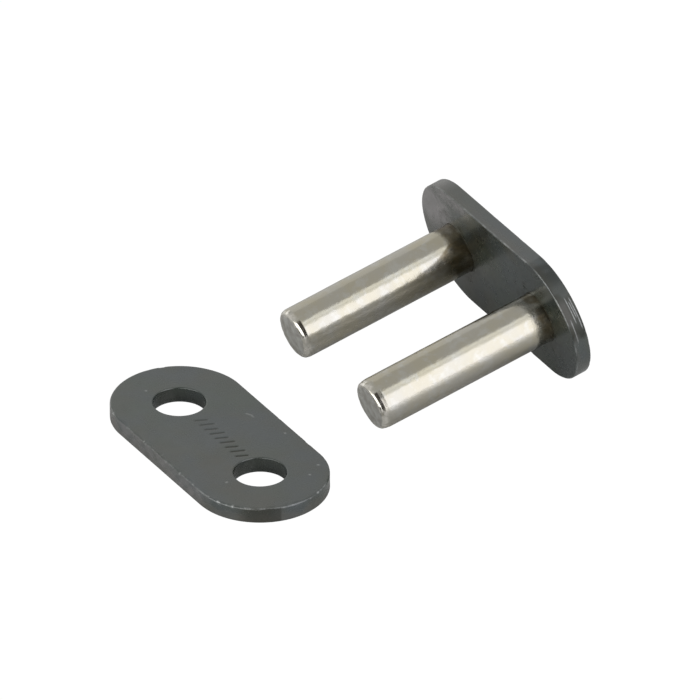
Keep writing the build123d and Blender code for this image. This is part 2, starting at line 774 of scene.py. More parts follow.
@dataclass(frozen=True)
class StampedPlate:
    """A plate punched from strip: two straight sides and two half rounds, with a hole at each end.

    In its own axes it lies flat on Z zero, long way along X, with the face that the punch
    entered up. That face has a rolled edge, and the other one a small bevel.
    """

    hole: HoleShape
    pitch: float = PITCH
    height: float = PLATE_HEIGHT
    thickness: float = PLATE_THICKNESS
    die_roll: float = 0.13
    edge_bevel: float = 0.07
    upper_rows: int = 54
    lower_rows: int = 22
    side_columns: int = 64
    round_columns: int = 180
    middle_columns: int = 96
    roll_points: int = 9
    wall_spacing: float = 0.03
    bevel_spacing: float = 0.035
    corner_core: float = 0.3

    def outline(self, inset: float) -> np.ndarray:
        """Half of the outline, about the hole of that half.

        It runs along one straight side from the plate's middle line, round the half circle, back
        along the other side, and across the middle line to its start.

        Args:
            inset: how far the outline is moved in.

        Returns:
            The points, as x and y.
        """
        reach = self.height / 2 - inset
        middle = -self.pitch / 2
        out = np.linspace(middle, 0, self.side_columns, endpoint=False)
        turn = np.linspace(-np.pi / 2, np.pi / 2, self.round_columns, endpoint=False)
        across = np.linspace(reach, -reach, self.middle_columns, endpoint=False)
        return np.concatenate([
            np.column_stack([out, np.full_like(out, -reach)]),
            reach * np.column_stack([np.cos(turn), np.sin(turn)]),
            np.column_stack([middle - out, np.full_like(out, reach)]),
            np.column_stack([np.full_like(across, middle), across]),
        ])

    def edge(self) -> np.ndarray:
        """The section of the plate's edge, from the rolled face down.

        Returns:
            Its points, as inset and height.
        """
        roll, bevel = self.die_roll, self.edge_bevel
        rolled = arc((roll, self.thickness - roll), roll, 90, 180, self.roll_points)
        wall = stretch((0, self.thickness - roll), (0, bevel), self.wall_spacing)
        return chained(rolled, wall, stretch((0, bevel), (bevel, 0), self.bevel_spacing))

    def spokes(self) -> np.ndarray:
        """The directions from the hole's middle to the points of the outline.

        Returns:
            A unit x and y for each point.
        """
        nominal = self.outline(0)
        angle = np.arctan2(nominal[:, 1], nominal[:, 0])
        return np.column_stack([np.cos(angle), np.sin(angle)])

    def at_end(self, end: End, flat: np.ndarray, height: np.ndarray | float) -> np.ndarray:
        """Flat points about the hole, moved to one end at a height: x = sign (x + pitch / 2)."""
        x = end.value * (flat[..., 0] + self.pitch / 2)
        return np.stack([x, flat[..., 1], np.broadcast_to(height, x.shape)], axis=-1)

    def flat_face(self, face: Face) -> np.ndarray:
        """One face's points about the hole: straight lines from its rim to the outline moved in.

        Args:
            face: which of the two faces.

        Returns:
            Rows of x and y, from the rim out.
        """
        rolled = face is Face.ROLLED
        rim = self.hole.profile()[0 if rolled else -1, 0]
        inset = self.die_roll if rolled else self.edge_bevel
        rows = self.upper_rows if rolled else self.lower_rows
        share = np.linspace(0, 1, rows)[:, None, None]
        return (1 - share) * rim * self.spokes() + share * self.outline(inset)

    def half(self, skin: Skin, end: End) -> None:
        """Adds one half of the plate to a skin: two faces, the edge, and the hole's wall.

        Args:
            skin: the surface that the half is added to.
            end: which half.
        """
        mirrored = end is End.REAR
        for face in (Face.ROLLED, Face.PLAIN):
            grid = self.at_end(end, self.flat_face(face), face.value * self.thickness)
            skin.add(grid, ring=True, turned=mirrored != (face is Face.ROLLED))
        edge, wall = self.edge(), self.hole.profile()
        outside = 2 * self.side_columns + self.round_columns + 1
        rings = np.stack([self.outline(inset)[:outside] for inset in edge[:, 0]])
        skin.add(self.at_end(end, rings, edge[:, 1, None]), turned=not mirrored)
        inside = wall[:, 0, None, None] * self.spokes()
        skin.add(self.at_end(end, inside, wall[:, 1, None]), ring=True, turned=mirrored)

    def skin(self) -> Skin:
        """The whole plate as a closed surface.

        Returns:
            The surface.
        """
        skin = Skin()
        for end in End:
            self.half(skin, end)
        return skin

    def depth_in(self, local: np.ndarray) -> np.ndarray:
        """How far each point is inside the outline: half the height less its way off the middle."""
        beyond = np.maximum(np.abs(local[:, 0]) - self.pitch / 2, 0)
        return self.height / 2 - np.hypot(beyond, local[:, 1])

    def from_hole(self, local: np.ndarray) -> np.ndarray:
        """How far each point is from the nearer hole's centre line."""
        return np.hypot(np.abs(local[:, 0]) - self.pitch / 2, local[:, 1])

    def corner(self, local: np.ndarray, face: Face, width: float) -> np.ndarray:
        """1 on the outer corner of one face, falling to 0 at a width from it."""
        distance = np.hypot(self.depth_in(local), local[:, 2] - face.value * self.thickness)
        return fade((self.corner_core * width, width), distance)


@dataclass(frozen=True)
class Marks:
    """Small round or long marks on a face, each given by its ends in the plate's X and Y."""

    starts: tuple[Pair, ...]
    ends: tuple[Pair, ...]
    width: float

    def on(self, local: np.ndarray) -> np.ndarray:
        """How strong the marks are: exp(-(distance / width)^2), with the distance to the nearest.

        Args:
            local: points in the plate's own axes.

        Returns:
            1 on a mark, falling to 0 off it.
        """
        level = np.zeros(len(local))
        for start, end in zip(self.starts, self.ends):
            start, way = np.array(start), np.subtract(end, start)
            share = np.clip((local[:, :2] - start) @ way / max(way @ way, TINY), 0, 1)
            distance = np.linalg.norm(local[:, :2] - start - share[:, None] * way, axis=1)
            level = np.maximum(level, np.exp(-((distance / self.width) ** 2)))
        return level


@dataclass
class PlatePart(Part):
    """A part that is a stamped plate, with a wall that the punch partly tore."""

    slot: Slot = Slot.PLATE
    thickness: float = PLATE_THICKNESS
    torn_line: Uneven = Uneven(Waves(1.1, 31), 0.0, 0.08)
    torn_band: Pair = (0.20, 0.75)
    torn_level: float = 0.5
    torn_depth: float = 0.03

    @abstractmethod
    def shape(self) -> StampedPlate:
        """The plate with its holes."""

    def skin(self) -> Skin:
        """The plate's closed surface, in its own axes."""
        return self.shape().skin()

    def on_wall(self, local: np.ndarray, depth: float) -> np.ndarray:
        """Which points are on the outer wall, no deeper inside the outline than a depth."""
        return self.shape().depth_in(local) < depth

    def torn(self, local: np.ndarray) -> np.ndarray:
        """How much each point of the wall is torn, which is most at its foot."""
        torn = self.torn_level * fade(self.torn_band, local[:, 2] + self.torn_line.at(local))
        return torn * self.on_wall(local, self.torn_depth)


@dataclass
class CoverPlate(PlatePart):
    """The loose plate, flat on the table with its rolled face up."""

    node: str = "cover_plate"
    hole_radius: float = 1.63
    breakout_depth: float = 0.34
    breakout_gap: float = 0.05
    rim_bevel: float = 0.05

    swell: Swell = Swell(0.0028, Waves(3.0, 3), Waves(0.8, 4), 0.2)
    off_table: Pair = (0.0, 0.3)
    nicks: Patchy = Patchy(Waves(0.9, 11), (0.9, 2.0))
    nick_width: float = 0.28
    nick_depth: float = 0.020

    strokes: int = 9
    stroke_span: Pair = (-2.2, 2.6)
    stroke_foot: Pair = (-0.12, -0.30)
    stroke_head: Pair = (0.14, 0.34)
    stroke_lift: float = 0.12
    stroke_width: float = 0.075
    stroke_depth: float = 0.030
    stroke_fading: Pair = (-3.0, 3.0)
    stroke_levels: Pair = (0.55, 1.0)
    stroke_oil: float = 0.8

    ridge_width: float = 0.10
    # the bare line along the rolled corner is also a painted highlight
    ridge_wear_and_highlight: Uneven = Uneven(Waves(1.1, 21), 0.31, 0.22)
    ridge_fraying: Patchy = Patchy(Waves(0.35, 23), (-0.5, 0.5), (0.35, 1.0))
    ridge_ends: Pair = (2.0, 7.0)
    ridge_levels: Pair = (0.6, 1.4)
    spot_width: float = 0.14
    spot_wear: Patchy = Patchy(Waves(0.45, 22), (1.5, 2.1), (0.0, 0.9))
    bright_ways: tuple[float, ...] = (-5.8, -3.9, -1.7, 0.7, 2.3, 4.5, 7.4)
    bright_wear_and_highlight: Patchy = Patchy(Waves(1.7, 24), (-1.2, 1.2), (0.35, 1.0))
    bright_inset: float = 0.04
    bright_width: float = 0.06
    bright_height: float = 0.16
    scratches: Marks = Marks(((-1.42, 2.78), (-1.14, 2.94)), ((-1.14, 2.94), (-0.88, 2.92)), 0.05)
    scratch_wear: float = 0.5
    specks: Marks = Marks(
        ((1.72, 3.61), (4.73, -2.32), (5.92, 3.41), (-6.9, -1.1), (6.6, 2.4)),
        ((1.73, 3.61), (4.76, -2.38), (5.94, 3.45), (-6.88, -1.1), (6.62, 2.42)),
        0.06,
    )
    speck_wear: float = 0.7

    near_side: float = -1.0
    foot_height: float = 0.05
    hole_margins: Pair = (0.03, 0.04)
    # painted shade in the holes, a darker front end of the near wall, and painted light on the near wall
    hole_shade: float = 0.24
    end_darkening: float = 0.36
    end_darkening_band: Pair = (7.2, 8.2)
    wall_lightening: Uneven = Uneven(Waves(0.7, 33), 0.36, 0.08)
    wall_lightening_line: Uneven = Uneven(Waves(1.2, 32), 0.0, 0.5)
    wall_lightening_band: Pair = (4.0, 6.5)

    def shape(self) -> StampedPlate:
        """The plate with its punched holes: bevelled rim, straight wall, torn lower part.

        Returns:
            The plate's shape.
        """
        top, radius = self.thickness, self.hole_radius
        heights = (top, top - self.rim_bevel, self.breakout_depth, 0)
        radii = (radius + self.rim_bevel, radius, radius, radius + self.breakout_gap)
        return StampedPlate(HoleShape(radii, heights))

    def axes(self) -> Axes:
        """The plate's axes, from the two holes that the record gives.

        Returns:
            The axes, with their origin on the table between the holes.
        """
        front, rear = mount_place("cover_front_hole"), mount_place("cover_rear_hole")
        along = (front - rear) / np.linalg.norm(front - rear)
        up = np.array([0.0, 0.0, 1.0])
        return Axes((front + rear) / 2 * (1, 1, 0), along, np.cross(up, along), up)

    def relief(self, local: np.ndarray) -> np.ndarray:
        """How far each point is raised: swell, nicks on the upper corner, and the strokes.

        Args:
            local: points in the plate's own axes.

        Returns:
            One height a point.
        """
        nicks = self.nicks.at(local) * self.shape().corner(local, Face.ROLLED, self.nick_width)
        swell = self.swell.at(local) * step(self.off_table, local[:, 2])
        return swell - self.nick_depth * nicks - self.stroke_depth * self.batch_strokes(local)

    def batch_strokes(self, local: np.ndarray) -> np.ndarray:
        """The plain slanted strokes between the holes, which mark the batch.

        Args:
            local: points in the plate's own axes.

        Returns:
            1 in a stroke, less in the faint ones, and 0 off them.
        """
        starts, ends = [], []
        for number, x in enumerate(np.linspace(*self.stroke_span, self.strokes)):
            lift = self.stroke_lift * (number % 2)
            starts.append((x + self.stroke_foot[0], self.stroke_foot[1]))
            ends.append((x + self.stroke_head[0], self.stroke_head[1] + lift))
        strokes = Marks(tuple(starts), tuple(ends), self.stroke_width).on(local)
        fading = between(self.stroke_levels, step(self.stroke_fading, local[:, 0]))
        return strokes * fading * (local[:, 2] > self.thickness / 2)

    def bright_spots(self, local: np.ndarray) -> np.ndarray:
        """The rubbed spots on the upper corner of the near side.

        A spot's way runs along the outline from the side's middle and bends into the end rounds.

        Args:
            local: points in the plate's own axes.

        Returns:
            How bright each point is.
        """
        shape = self.shape()
        half, reach = shape.pitch / 2, shape.height / 2 - self.bright_inset
        way = np.array(self.bright_ways)
        turn = np.maximum(np.abs(way) - half, 0) / (shape.height / 2)
        x = np.sign(way) * (np.minimum(np.abs(way), half) + reach * np.sin(turn))
        places = tuple(zip(x, -reach * np.cos(turn)))
        spots = Marks(places, places, self.bright_width).on(local)
        return self.bright_wear_and_highlight.at(local) * spots * (local[:, 2] > self.thickness - self.bright_height)

    def worn_and_lit(self, local: np.ndarray) -> np.ndarray:
        """Where the bare steel shows: along the upper corner, where it is also a painted highlight, and
        in scratches and specks.

        Args:
            local: points in the plate's own axes.

        Returns:
            One level a point.
        """
        shape = self.shape()
        # Painted highlight: the bare line along the rolled corner stands in for the light that its round
        # catches, stronger towards the front of the near side.
        ridge = shape.corner(local, Face.ROLLED, self.ridge_width) * self.ridge_wear_and_highlight.at(local)
        ridge *= self.ridge_fraying.at(local)
        ridge *= between(self.ridge_levels, step(self.ridge_ends, local[:, 0] - local[:, 1]))
        spots = shape.corner(local, Face.ROLLED, self.spot_width) * self.spot_wear.at(local)
        scratches = self.scratch_wear * self.scratches.on(local)
        marks = np.maximum(scratches, self.speck_wear * self.specks.on(local))
        marks *= local[:, 2] > self.thickness - ON_FACE
        return np.maximum.reduce([ridge, spots, self.bright_spots(local), marks])

    def wear(self, local: np.ndarray) -> dict[str, np.ndarray]:
        """The attributes that the finish reads.

        Args:
            local: points in the plate's own axes.

        Returns:
            Bare steel with a painted highlight on the corner, torn wall, burnt oil with painted shade,
            and painted light on the near wall, by name.
        """
        x, height = local[:, 0], local[:, 2]
        near_wall = (local[:, 1] < self.near_side) & (height > self.foot_height)
        near_wall &= self.on_wall(local, self.torn_depth)
        wider, lower = self.hole_margins
        in_hole = self.shape().from_hole(local) < self.hole_radius + wider
        in_hole &= height < self.thickness - lower
        # painted shade on the walls of the holes, and the near wall darker towards its front end
        darkening = self.hole_shade * in_hole + self.end_darkening * near_wall * step(self.end_darkening_band, x)
        # painted light: the near wall lighter except at its front end, as it mirrors the lit table
        lightening = self.wall_lightening.at(local) * fade(self.wall_lightening_band, x + self.wall_lightening_line.at(local))
        return {
            "worn_and_lit": self.worn_and_lit(local),
            "torn": self.torn(local),
            "soiled_and_shaded": np.maximum(self.stroke_oil * self.batch_strokes(local), darkening),
            "thinned_and_lit": lightening * near_wall,
        }


@dataclass(frozen=True)
class Scuff:
    """A thin line along the wall of a plate's end, whose height changes evenly with the angle."""

    height: float
    rise: float
    start: float
    end: float
    width: float = 0.026
    soft_ends: Window = Window((0.0, 0.15), (0.85, 1.0))

    def at(self, angle: np.ndarray, height: np.ndarray) -> np.ndarray:
        """How strong the line is: exp(-(distance / width)^2), with soft ends.

        Args:
            angle: each point's angle round the end.
            height: each point's height on the wall.

        Returns:
            1 in the line, falling to 0 off it.
        """
        share = (angle - self.start) / (self.end - self.start)
        distance = height - self.height - self.rise * share
        return self.soft_ends.at(share) * np.exp(-((distance / self.width) ** 2))


@dataclass
class PinPlate(PlatePart):
    """The plate that holds the pins, inner face towards the tips."""

    node: str = "pin_plate"
    pin_radius: float = PIN_RADIUS
    rivet_swell: float = RIVET_SWELL
    rivet_sink: float = RIVET_SINK
    rim_bevel: float = 0.02
    outer_rows: int = 28
    inner_rows: int = 50

    swell: Swell = Swell(0.0035, Waves(2.6, 43), Waves(0.7, 44), 0.15)
    swell_levels: Pair = (1.0, 0.5)
    nicks: Patchy = Patchy(Waves(0.8, 51), (0.9, 2.0))
    nick_widths: Pair = (0.16, 0.20)
    outer_nicks: float = 0.5
    nick_depth: float = 0.018
    scuffs: tuple[Scuff, ...] = (
        Scuff(0.56, 0.02, -45, -19),
        Scuff(0.70, 0.03, -40, -24),
        Scuff(0.82, 0.04, -44, -12),
        Scuff(0.30, 0.02, -26, -2),
    )
    scuff_depth: float = 0.012
    scuff_wear: float = 0.6

    line_width: float = 0.10
    # the inner corner's bare line is also a painted highlight
    line_wear_and_highlight: Uneven = Uneven(Waves(1.3, 61), 0.30, 0.22)
    line_fraying: Patchy = Patchy(Waves(0.4, 63), (-0.6, 0.4), (0.45, 1.0))
    bright_part: Window = Window((-3.6, -2.6), (4.0, 5.6))
    bright_wear_and_highlight: float = 0.32
    back_width: float = 0.11
    back_wear: Uneven = Uneven(Waves(0.8, 62), 0.12, 0.12)

    torn_line: Uneven = Uneven(Waves(1.2, 71), 0.0, 0.08)
    torn_band: Pair = (0.15, 0.60)
    torn_level: float = 0.3
    wall_depth: float = 0.05

    # grime and painted shade round the pins' feet, and painted shade over the inner face
    foot_ring_line: Uneven = Uneven(Waves(0.9, 72), 0.0, 0.35)
    foot_ring_band: Pair = (0.0, 1.0)
    foot_grime_and_shade: Uneven = Uneven(Waves(0.5, 73), 0.30, 0.10)
    face_shade: Pair = (0.10, 0.22)
    face_shade_band: Pair = (2.0, 6.0)
    shaded_part: Marks = Marks(((-4.0, 0.0),), ((-0.4, -3.6),), 0.75)
    smoke: float = 0.45
    wall_line: Uneven = Uneven(Waves(0.9, 77), 0.0, 3.0)
    wall_start: float = 0.03
    # painted shade on the first band of the front end's wall, burnt oil on the second
    wall_oil_and_shade: tuple[tuple[float, Window], ...] = (
        (0.42, Window((-90.0, -72.0), (-50.0, -43.0))),
        (0.66, Window((-50.0, -43.0), (-14.0, -4.0))),
    )

    # painted light on the rear end's inner face and on the upper wall
    lit_patch: Marks = Marks(((-9.6, -0.5), (-8.0, -1.0)), ((-7.6, -2.8), (-6.4, -2.0)), 1.3)
    lit_scaly_part: Marks = Marks(
        ((-7.6, -3.0), (-6.9, -2.0), (-6.0, -3.9)),
        ((-5.6, -2.6), (-5.6, -1.2), (-3.0, -4.1)),
        0.75,
    )
    scales: Patchy = Patchy(Swell(1.0, Waves(0.6, 74), Waves(0.25, 75), 0.5), (-0.6, 0.6), (0.6, 1.0))
    dark_part: Marks = Marks(((-8.7, -0.1),), ((-7.4, 0.6),), 0.75)
    dark_share: float = 0.6
    wall_foot: float = 0.05
    wall_light_levels: Pair = (0.34, 0.10)
    wall_light_band: Pair = (-6.0, -4.6)
    wall_light_end: float = 4.9
    patch: Window = Window((-44.0, -38.0), (-21.0, -18.0))
    patch_edge: Pair = (0.38, 0.50)
    patch_thinning: float = 0.35

    def shape(self) -> StampedPlate:
        """The plate with its filled holes; most of its rows are on the inner face.

        Returns:
            The plate's shape.
        """
        top, radius = self.thickness, self.pin_radius
        seat = radius + self.rivet_swell
        heights = (top, top - self.rivet_sink, self.rim_bevel, 0)
        radii = (seat + self.rivet_sink, seat, radius, radius + self.rim_bevel)
        hole = HoleShape(radii, heights)
        return StampedPlate(hole, upper_rows=self.outer_rows, lower_rows=self.inner_rows)

    def axes(self) -> Axes:
        """The plate's axes, from the pins that the record gives.

        Returns:
            The axes, with their origin on the inner face, and Z away from the tips.
        """
        front, rear = mount_place("front_pin_shank"), mount_place("rear_pin_shank")
        along = (front - rear) / np.linalg.norm(front - rear)
        out = -mount_axis("front_pin_shank")
        return Axes((front + rear) / 2, along, np.cross(out, along), out)

    def front_angle(self, local: np.ndarray) -> np.ndarray:
        """Degrees round the front pin, from the plate's long way towards its lower side."""
        return np.degrees(np.arctan2(local[:, 1], local[:, 0] - PITCH / 2))

    def scuffed(self, local: np.ndarray) -> np.ndarray:
        """The lines along the wall of the front end, where the strip rubbed in the tool.

        Args:
            local: points in the plate's own axes.

        Returns:
            1 in a line, falling to 0 off it.
        """
        angle = self.front_angle(local)
        lines = np.maximum.reduce([scuff.at(angle, local[:, 2]) for scuff in self.scuffs])
        return lines * (local[:, 0] > PITCH / 2) * self.on_wall(local, self.wall_depth)

    def relief(self, local: np.ndarray) -> np.ndarray:
        """How far each point is raised: swell, nicks on both corners, and the scuffs.

        Args:
            local: points in the plate's own axes.

        Returns:
            One height a point.
        """
        inner_width, outer_width = self.nick_widths
        inner = self.shape().corner(local, Face.PLAIN, inner_width)
        outer = self.shape().corner(local, Face.ROLLED, outer_width)
        nicks = self.nicks.at(local) * np.maximum(inner, self.outer_nicks * outer)
        swell = self.swell.at(local) * between(self.swell_levels, step((0, self.thickness), local[:, 2]))
        return swell - self.nick_depth * nicks - self.scuff_depth * self.scuffed(local)

    def worn_and_lit(self, local: np.ndarray) -> np.ndarray:
        """Where the bare steel shows: along both corners and in the scuffs; along the inner corner it is
        also a painted highlight, brighter over a middle stretch.

        Args:
            local: points in the plate's own axes.

        Returns:
            One level a point.
        """
        shape = self.shape()
        # painted highlight along the inner corner, brighter over the middle stretch
        wear = self.line_wear_and_highlight.at(local) + self.bright_wear_and_highlight * self.bright_part.at(local[:, 0])
        line = shape.corner(local, Face.PLAIN, self.line_width) * wear * self.line_fraying.at(local)
        back = shape.corner(local, Face.ROLLED, self.back_width) * self.back_wear.at(local)
        return np.maximum.reduce([line, back, self.scuff_wear * self.scuffed(local)])

    def soiled_and_shaded(self, local: np.ndarray) -> np.ndarray:
        """Where the plate is darker: grime and painted shade round the pins' feet, painted shade over the
        inner face, and burnt oil and painted shade on the wall.

        Args:
            local: points in the plate's own axes.

        Returns:
            One level a point.
        """
        from_pin = self.shape().from_hole(local) - self.pin_radius
        # grime and painted shade in the crease round each pin's foot
        grime_and_shade_ring = fade(self.foot_ring_band, from_pin + self.foot_ring_line.at(local)) * self.foot_grime_and_shade.at(local)
        # painted shade over the inner face, deeper towards the front pin, and none on the lit patch
        painted_face_shade = between(self.face_shade, step(self.face_shade_band, local[:, 0]))
        painted_face_shade *= 1 - self.lit_patch.on(local)
        # painted shade in a band from the rear pin's foot towards the lower edge, where the pin's dark
        # reflection falls
        on_face = np.maximum.reduce([grime_and_shade_ring, painted_face_shade, self.smoke * self.shaded_part.on(local)])
        on_face *= local[:, 2] < ON_FACE
        # painted shade on the wall's first band, burnt oil on the second
        angle = self.front_angle(local) + self.wall_line.at(local)
        on_wall = sum(darkening * part.at(angle) for darkening, part in self.wall_oil_and_shade)
        on_wall *= (local[:, 0] > 0) & (local[:, 2] > self.wall_start)
        return np.maximum(on_face, on_wall * self.on_wall(local, self.wall_depth))

    def thinned_and_lit(self, local: np.ndarray) -> np.ndarray:
        """Where the oxide is thin and grey, and painted light: a lighter patch on the rear end's face,
        where it mirrors the lit table, and a lighter upper wall.

        Args:
            local: points in the plate's own axes.

        Returns:
            One level a point.
        """
        x, height = local[:, 0], local[:, 2]
        # painted light: a lighter, partly scaly patch on the rear end's inner face, kept off the band
        # where the pin's dark reflection falls
        on_face = np.maximum(self.lit_patch.on(local), self.lit_scaly_part.on(local) * self.scales.at(local))
        on_face *= (height < ON_FACE) * (1 - self.dark_share * self.dark_part.on(local))
        # painted light: the upper wall lighter towards its rear end
        upper_wall = (height > self.wall_foot) & (local[:, 1] < 0) & (x < self.wall_light_end)
        on_wall = upper_wall * between(self.wall_light_levels, step(self.wall_light_band, x))
        patch = self.patch.at(self.front_angle(local)) * fade(self.patch_edge, height) * (x > 0)
        on_wall = np.maximum(on_wall, self.patch_thinning * patch)
        return np.maximum(on_face, on_wall * self.on_wall(local, self.wall_depth))

    def wear(self, local: np.ndarray) -> dict[str, np.ndarray]:
        """The attributes that the finish reads.

        Args:
            local: points in the plate's own axes.

        Returns:
            Bare steel with painted highlights, torn wall, burnt oil with painted shade, and thin oxide
            with painted light, by name.
        """
        return {
            "worn_and_lit": self.worn_and_lit(local),
            "torn": self.torn(local),
            "soiled_and_shaded": self.soiled_and_shaded(local),
            "thinned_and_lit": self.thinned_and_lit(local),
        }


# ---------------------------------------------------------------- pins


@dataclass(frozen=True)
class SideShade:
    """Painted shade on the side of a pin that faces the other one, most of it at the foot.

    It darkens the pin where the plate's dark reflection should reach. Its edge is at
    start - climb ((top - z) / run)^3 degrees, so that it climbs towards the foot.
    """

    start: float = 66
    climb: float = 33
    top: float = 5.6
    run: float = 4.6
    softness: Pair = (-3.0, 3.0)
    far_side: Pair = (104.0, 124.0)
    levels: Pair = (0.88, 0.45)
    wall_lightening: Pair = (1.0, 2.4)
    fading: Pair = (1.7, 6.8)

    def at(self, angle: np.ndarray, height: np.ndarray) -> np.ndarray:
        """How much painted shade there is.

        Args:
            angle: each point's angle round the pin.
            height: each point's way along the pin.

        Returns:
            One level a point.
        """
        edge = self.start - self.climb * np.clip((self.top - height) / self.run, 0, 1) ** 3
        side = step(self.softness, angle - edge) * fade(self.far_side, angle)
        level = between(self.levels, step(self.wall_lightening, height)) * fade(self.fading, height)
        return side * level * (height > 0)


@dataclass
class Pin(Part):
    """One turned pin, riveted into the plate at its foot and rounded off at its tip.

    In its own axes Z runs along the pin, from zero at the plate's inner face to the tip.
    """

    slot: Slot = Slot.PIN
    seed: int = 0
    radius: float = PIN_RADIUS
    reach: float = 12.25
    columns: int = 320
    shank_spacing: float = 0.062

    lead_tilt: float = 8.5
    lead_length: float = 0.0
    tip_taper: float = 14
    tip_blend: float = 0.35
    taper_length: float = 0.17
    chamfer_tilt: float = 42
    chamfer_length: float = 0.09
    chamfer_round: float = 0.10
    end_round: float = 0.10
    round_points: int = 7
    tip_spacing: float = 0.05

    plate_thickness: float = PLATE_THICKNESS
    rivet_swell: float = RIVET_SWELL
    rivet_sink: float = RIVET_SINK
    head_radius: float = 2.02
    head_height: float = 0.24
    dimple_radius: float = 0.85
    dimple_depth: float = 0.07
    dimple_points: int = 14
    dome_points: int = 18
    under_spacing: float = 0.1
    sunk_spacing: float = 0.2
    seat_spacing: float = 0.4

    out_of_plate: Pair = (0.0, 0.1)
    swell: Swell = Swell(0.0010, Waves(2.4, 0), Waves(0.8, 1), 0.5)
    ripple: Waves = Waves(0.40, 8)
    ripple_depth: float = 0.0010
    ripple_stretch: tuple[float, float, float] = (1.0, 1.0, 0.7)
    calm_foot: Pair = (2.5, 5.0)
    calm_levels: Pair = (0.3, 1.0)
    neck: Window = Window((0.0, 0.5), (0.6, 1.3))
    neck_depth: float = 0.009
    foot: float = -0.05

    tip_band: Pair = (-0.45, -0.10)
    end_band: Pair = (-0.02, -0.005)
    corner_band: Pair = (-0.10, 0.02)
    crown: float = 0.045
    cut_marks: Waves = Waves(0.5, 3)
    cut_depth: float = 0.006
    cut_level: float = 0.9
    bruises: Patchy = Patchy(Waves(0.45, 4), (0.4, 1.6))
    bruise_depth: float = 0.010
    spared_side: Window = Window((18.0, 30.0), (70.0, 84.0))
    spared_share: float = 0.75
    corner_wear: Uneven = Uneven(Waves(0.4, 7), 0.5, 0.4)
    # painted highlights on two sides of the corner
    highlight_sides: tuple[Window, Window] = (
        Window((-60.0, -40.0), (8.0, 20.0)),
        Window((82.0, 92.0), (115.0, 130.0)),
    )
    bright_wear_and_highlight: Patchy = Patchy(Waves(0.35, 9), (-0.8, 0.2), (0.0, 1.2))

    dull_side: float = 0
    dull_line: Uneven = Uneven(Waves(0.5, 10), 0.0, 1.0)
    dull_start: Pair = (65.0, 70.0)
    dull_end: Pair = (92.0, 108.0)
    dull_foot: Pair = (0.8, 2.4)
    # painted shade on the side that faces the other pin
    side_shade: SideShade = SideShade()
    film_reach: float = 0.85
    film_strength: float = 0.80
    head_film: float = 0.25
    film_line: Uneven = Uneven(Waves(0.8, 5), 0.0, 0.02)
    film_edge: Pair = (-0.25, 0.03)
    film_gaps: Patchy = Patchy(Waves(0.9, 6), (-1.8, 0.2))

    def tip(self) -> np.ndarray:
        """The tip's outline from the shank on.

        It is a round into a short taper, a round into a narrow chamfer, a round into the flat
        end, and the end. Each part starts where the last one ends, along the slope that it ends
        with, and the whole is then moved so that the end is at the reach.

        Returns:
            The outline, as radius and height.
        """
        lead, taper, chamfer = self.lead_tilt, self.tip_taper, self.chamfer_tilt
        parts = [np.array([[self.radius, 0.0]])]
        turns = (
            (self.tip_blend, 0, lead, self.lead_length),
            (self.tip_blend, lead, taper, self.taper_length),
            (self.chamfer_round, taper, chamfer, self.chamfer_length),
            (self.end_round, chamfer, 90, None),
        )
        for radius, start, end, length in turns:
            turned = arc((0, 0), radius, start, end, self.round_points)
            parts.append(turned - turned[0] + parts[-1][-1])
            tilt, last = math.radians(end), parts[-1][-1]
            run = np.array([-math.sin(tilt), math.cos(tilt)]) * (last[0] if length is None else length)
            if np.any(run):
                parts.append(stretch(tuple(last), tuple(last + run), self.tip_spacing))
        outline = chained(*parts)
        outline[:, 1] += self.reach - outline[-1, 1]
        outline[-1, 0] = 0
        return outline

    def head(self) -> np.ndarray:
        """The outline from the middle of the rivet's head to the plate's inner face.

        Returns:
            The outline, as radius and height.
        """
        outer, seat = -self.plate_thickness, self.radius + self.rivet_swell
        top = outer - self.head_height
        rim, sink = (seat + self.rivet_sink, outer), (seat, outer + self.rivet_sink)
        return chained(
            level_arc((0, top + self.dimple_depth), (self.dimple_radius, top), self.dimple_points),
            level_arc((self.dimple_radius, top), (self.head_radius, outer), self.dome_points),
            stretch((self.head_radius, outer), rim, self.under_spacing),
            stretch(rim, sink, self.sunk_spacing),
            stretch(sink, (self.radius, 0), self.seat_spacing),
        )

    def skin(self) -> Skin:
        """The pin as its outline turned about Z: (r cos a, r sin a, h).

        Returns:
            The closed surface.
        """
        tip = self.tip()
        shank = stretch((self.radius, 0), tuple(tip[0]), self.shank_spacing)
        outline = chained(self.head(), shank, tip)
        angle = np.linspace(0, 2 * np.pi, self.columns, endpoint=False)
        ring = np.stack([np.cos(angle), np.sin(angle), np.zeros_like(angle)], axis=-1)
        grid = outline[:, :1, None] * ring + outline[:, 1, None, None] * np.array([0.0, 0.0, 1.0])
        skin = Skin()
        skin.add(grid, ring=True)
        return skin

    def axes(self) -> Axes:
        """The pin's axes, from its shank in the record.

        Returns:
            The axes, with their origin on the plate's inner face, and Z towards the tip.
        """
        out = mount_axis(f"{self.node}_shank")
        along = np.array([1.0, 0.0, 0.0])
        return Axes(mount_place(f"{self.node}_shank"), along, np.cross(out, along), out)

    def side(self, local: np.ndarray) -> np.ndarray:
        """Degrees round the pin, from its upper side towards the front of the link."""
        return np.degrees(np.arctan2(local[:, 0], local[:, 1]))

    def end_radius(self) -> float:
        """The radius of the flat end."""
        tip = self.tip()
        return tip[tip[:, 1] > self.reach - ON_FACE, 0].max()

    def on_tip(self, local: np.ndarray) -> np.ndarray:
        """1 on the tip and 0 on the shank."""
        return step(self.tip_band, local[:, 2] - self.reach)

    def on_end(self, local: np.ndarray) -> np.ndarray:
        """1 on the flat end and 0 before it."""
        return step(self.end_band, local[:, 2] - self.reach)

